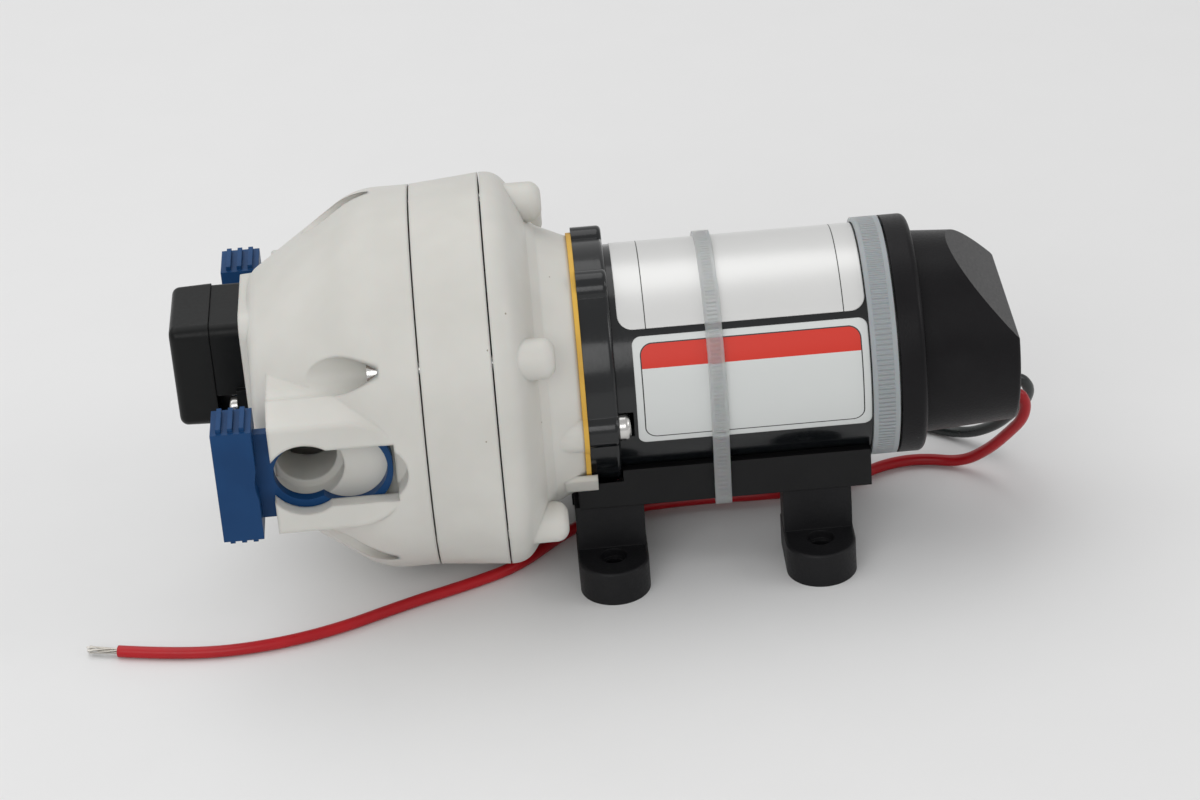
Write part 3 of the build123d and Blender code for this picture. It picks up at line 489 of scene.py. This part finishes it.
def tieMaterial(name, tie):
    # translucent nylon with ratchet teeth across the strap
    material, tree, shader = newMaterial(name)
    skin = useGroup(tree, "smooth")
    around = useGroup(tree, "roundMotor")
    turns = addNode(tree, "Math", operation="MULTIPLY")
    turns.inputs[1].default_value = 2 * math.pi / tie["pitch"]
    wave = addNode(tree, "Math", operation="SINE")
    inside = addNode(tree, "Math", operation="COMPARE")
    inside.inputs[1].default_value = tie["middle"]
    inside.inputs[2].default_value = tie["toothed"] / 2
    teeth = addNode(tree, "Math", operation="MULTIPLY")
    bump = addNode(tree, "Bump", strength=1.0, distance=tie["depth"])
    shade = addNode(tree, "ValToRGB")
    shade.color_ramp.elements[0].color = (*tie["dark"], 1)
    shade.color_ramp.elements[1].color = (*tie["light"], 1)
    tree.links.new(around.outputs["Round"], turns.inputs[0])
    tree.links.new(turns.outputs[0], wave.inputs[0])
    tree.links.new(around.outputs["Along"], inside.inputs[0])
    tree.links.new(wave.outputs[0], teeth.inputs[0])
    tree.links.new(inside.outputs[0], teeth.inputs[1])
    tree.links.new(teeth.outputs[0], bump.inputs["Height"])
    tree.links.new(skin.outputs["Normal"], bump.inputs["Normal"])
    tree.links.new(bump.outputs["Normal"], shader.inputs["Normal"])
    tree.links.new(skin.outputs["Tone"], shade.inputs["Fac"])
    tree.links.new(shade.outputs["Color"], shader.inputs["Base Color"])
    shader.inputs["Roughness"].default_value = tie["rough"]
    shader.inputs["Transmission Weight"].default_value = tie["clear"]
    shader.inputs["Subsurface Weight"].default_value = tie["glow"]
    shader.inputs["Subsurface Scale"].default_value = tie["glowDepth"]
    return material


narrowTie = {
    "pitch": 0.0011, "middle": 0.0027, "toothed": 0.0026, "depth": 0.00010, "rough": 0.30,
    "clear": 0.84, "glow": 0.15, "glowDepth": 0.001,
    "dark": (0.91, 0.93, 0.93), "light": (0.96, 0.98, 0.98),
}
wideTie = {
    "pitch": 0.0013, "middle": 0.0469, "toothed": 0.0044, "depth": 0.00022, "rough": 0.36,
    "clear": 0.40, "glow": 0.15, "glowDepth": 0.001,
    "dark": (0.46, 0.50, 0.52), "light": (0.60, 0.64, 0.66),
}
materials["narrowTie"] = tieMaterial("narrowTie", narrowTie)
materials["wideTie"] = tieMaterial("wideTie", wideTie)


def roundedBox(tree, place, middle, half, corner):
    # distance to a rounded box on the unrolled can, negative inside
    shift = addNode(tree, "VectorMath", operation="SUBTRACT")
    shift.inputs[1].default_value = (*middle, 0)
    fold = addNode(tree, "VectorMath", operation="ABSOLUTE")
    inner = addNode(tree, "VectorMath", operation="SUBTRACT")
    inner.inputs[1].default_value = (half[0] - corner, half[1] - corner, 0)
    clamp = addNode(tree, "VectorMath", operation="MAXIMUM")
    clamp.inputs[1].default_value = (0, 0, 0)
    size = addNode(tree, "VectorMath", operation="LENGTH")
    outside = addNode(tree, "Math", operation="SUBTRACT")
    outside.inputs[1].default_value = corner
    tree.links.new(place, shift.inputs[0])
    tree.links.new(shift.outputs[0], fold.inputs[0])
    tree.links.new(fold.outputs[0], inner.inputs[0])
    tree.links.new(inner.outputs[0], clamp.inputs[0])
    tree.links.new(clamp.outputs[0], size.inputs[0])
    tree.links.new(size.outputs["Value"], outside.inputs[0])
    return outside.outputs[0]


def compare(tree, value, middle, reach):
    near = addNode(tree, "Math", operation="COMPARE")
    near.inputs[1].default_value = middle
    near.inputs[2].default_value = reach
    tree.links.new(value, near.inputs[0])
    return near.outputs[0]


def multiply(tree, first, second):
    product = addNode(tree, "Math", operation="MULTIPLY")
    tree.links.new(first, product.inputs[0])
    tree.links.new(second, product.inputs[1])
    return product.outputs[0]


def labelSheet(name, tones, rough):
    material, tree, shader = newMaterial(name)
    skin = useGroup(tree, "smooth")
    around = useGroup(tree, "roundMotor")
    base = addNode(tree, "ValToRGB")
    base.color_ramp.elements[0].color = (*tones[0], 1)
    base.color_ramp.elements[1].color = (*tones[1], 1)
    tree.links.new(skin.outputs["Tone"], base.inputs["Fac"])
    tree.links.new(skin.outputs["Normal"], shader.inputs["Normal"])
    shader.inputs["Roughness"].default_value = rough
    return material, tree, shader, around, base.outputs["Color"]


inkBlack = (0.02, 0.02, 0.02)
warningRed = (0.64, 0.022, 0.006)


def lowerLabelMaterial():
    layout = {"margin": 0.0020, "line": 0.00016, "corner": 0.0032, "band": 0.0066}
    tones = ((0.64, 0.66, 0.65), (0.69, 0.71, 0.70))
    material, tree, shader, around, colour = labelSheet("whiteLabel", tones, 0.38)
    top = math.radians(lowerLabel["high"]) * pump["canRadius"] - layout["margin"]
    bottom = math.radians(lowerLabel["low"]) * pump["canRadius"] + layout["margin"]
    left = lowerLabel["left"] + layout["margin"]
    right = lowerLabel["right"] - layout["margin"]
    middle = ((left + right) / 2, (top + bottom) / 2)
    half = ((right - left) / 2, (top - bottom) / 2)
    distance = roundedBox(tree, around.outputs["Place"], middle, half, layout["corner"])
    inside = addNode(tree, "Math", operation="LESS_THAN")
    inside.inputs[1].default_value = 0
    tree.links.new(distance, inside.inputs[0])
    high = compare(tree, around.outputs["Round"], top, layout["band"])
    colour = paint(tree, multiply(tree, inside.outputs[0], high), colour, warningRed)
    colour = paint(tree, compare(tree, distance, 0, layout["line"]), colour, inkBlack)
    tree.links.new(colour, shader.inputs["Base Color"])
    return material


def upperLabelMaterial():
    layout = {"firstLine": -0.0150, "lastLine": 0.0372, "line": 0.00013, "metal": 0.35}
    tones = ((0.70, 0.70, 0.69), (0.78, 0.78, 0.77))
    material, tree, shader, around, colour = labelSheet("silverLabel", tones, 0.30)
    shader.inputs["Metallic"].default_value = layout["metal"]
    for place in (layout["firstLine"], layout["lastLine"]):
        stripe = compare(tree, around.outputs["Along"], place, layout["line"])
        colour = paint(tree, stripe, colour, inkBlack)
    tree.links.new(colour, shader.inputs["Base Color"])
    return material


materials["whiteLabel"] = lowerLabelMaterial()
materials["silverLabel"] = upperLabelMaterial()

worn = {
    "housingWhite": ["upper_housing", "valve_housing", "lower_housing"],
    "switchBlack": ["switch_cover", "switch_base"],
    "baseBlack": ["cradle_base", "micro_switch", "brush_plate", "carbon_brushes"],
    "rubberBlack": ["foot_head_front", "foot_head_rear", "foot_motor_front", "foot_motor_rear"],
    "capRubber": ["end_cap"],
    "motorPaint": ["motor_bracket", "motor_can"],
    "clipBlue": ["slide_clip_front", "slide_clip_rear"],
    "gasketYellow": ["flange_gasket"],
    "screwSteel": ["head_screws", "bracket_screws", "switch_screws"],
    "groundSteel": ["motor_shaft", "armature", "front_bearing", "rear_bearing", "wobble_bearing"],
    "copper": ["commutator"],
    "ferrite": ["magnets"],
    "innerPlastic": ["eccentric_cam", "wobble_plate", "pistons", "switch_plunger"],
    "valveRubber": ["diaphragm", "inlet_valves", "outlet_valve", "switch_diaphragm"],
    "narrowTie": ["narrow_tie"],
    "wideTie": ["wide_tie"],
    "redWire": ["red_lead"],
    "blackWire": ["black_lead"],
    "tinnedStrand": ["red_lead_end", "black_lead_end"],
}


def wear(piece, name):
    piece.data.materials.clear()
    piece.data.materials.append(materials[name])


for name, nodes in worn.items():
    for node in nodes:
        wear(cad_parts[node], name)
for colour, (wire, strands) in leads.items():
    wear(wire, colour + "Wire")
    wear(strands, "tinnedStrand")
wear(upperSheet, "silverLabel")
wear(lowerSheet, "whiteLabel")

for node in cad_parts.values():
    if node.hide_render:
        continue
    bpy.ops.object.select_all(action="DESELECT")
    node.select_set(True)
    bpy.context.view_layer.objects.active = node
    bpy.ops.object.shade_smooth_by_angle(angle=math.radians(pump["smoothAngle"]))
print("materials:", len(materials))


# floor and light
studio = {
    "floorSize": 6.0,
    "floorDark": (0.80, 0.80, 0.80),
    "floorLight": (0.82, 0.82, 0.82),
    "floorRough": 0.6,
    "world": 0.55,
    "lights": {
        "key": {"place": (-0.45, 0.35, 1.15), "aim": (0, 0, 0.03), "size": (1.6, 1.2), "power": 6.5},
        "front": {"place": (-0.5, -1.3, 0.9), "aim": (-0.03, 0, 0.05), "size": (1.2, 0.8), "power": 6.0},
        "side": {"place": (1.2, -0.3, 0.7), "aim": (0, 0, 0.05), "size": (0.5, 0.5), "power": 2.0},
    },
}

bpy.ops.mesh.primitive_plane_add(size=studio["floorSize"])
floor = bpy.context.object
floor.name = "floor"
floorMaterial, floorTree, floorShader = newMaterial("floorPaper")
floorSkin = useGroup(floorTree, "moulded")
floorTone = addNode(floorTree, "ValToRGB")
floorTone.color_ramp.elements[0].color = (*studio["floorDark"], 1)
floorTone.color_ramp.elements[1].color = (*studio["floorLight"], 1)
floorTree.links.new(floorSkin.outputs["Tone"], floorTone.inputs["Fac"])
floorTree.links.new(floorTone.outputs["Color"], floorShader.inputs["Base Color"])
floorShader.inputs["Roughness"].default_value = studio["floorRough"]
floor.data.materials.append(floorMaterial)

for name, light in studio["lights"].items():
    data = bpy.data.lights.new(name, "AREA")
    data.shape = "RECTANGLE"
    data.size, data.size_y = light["size"]
    data.energy = light["power"]
    lamp = bpy.data.objects.new(name, data)
    lamp.location = light["place"]
    ahead = Vector(light["aim"]) - Vector(light["place"])
    lamp.rotation_euler = ahead.to_track_quat("-Z", "Y").to_euler()
    bpy.context.scene.collection.objects.link(lamp)

world = bpy.data.worlds.new("studio")
bpy.context.scene.world = world
world.use_nodes = True
world.node_tree.nodes["Background"].inputs["Color"].default_value = (1, 1, 1, 1)
world.node_tree.nodes["Background"].inputs["Strength"].default_value = studio["world"]
bpy.context.scene.view_settings.view_transform = "Standard"
print("studio lit")
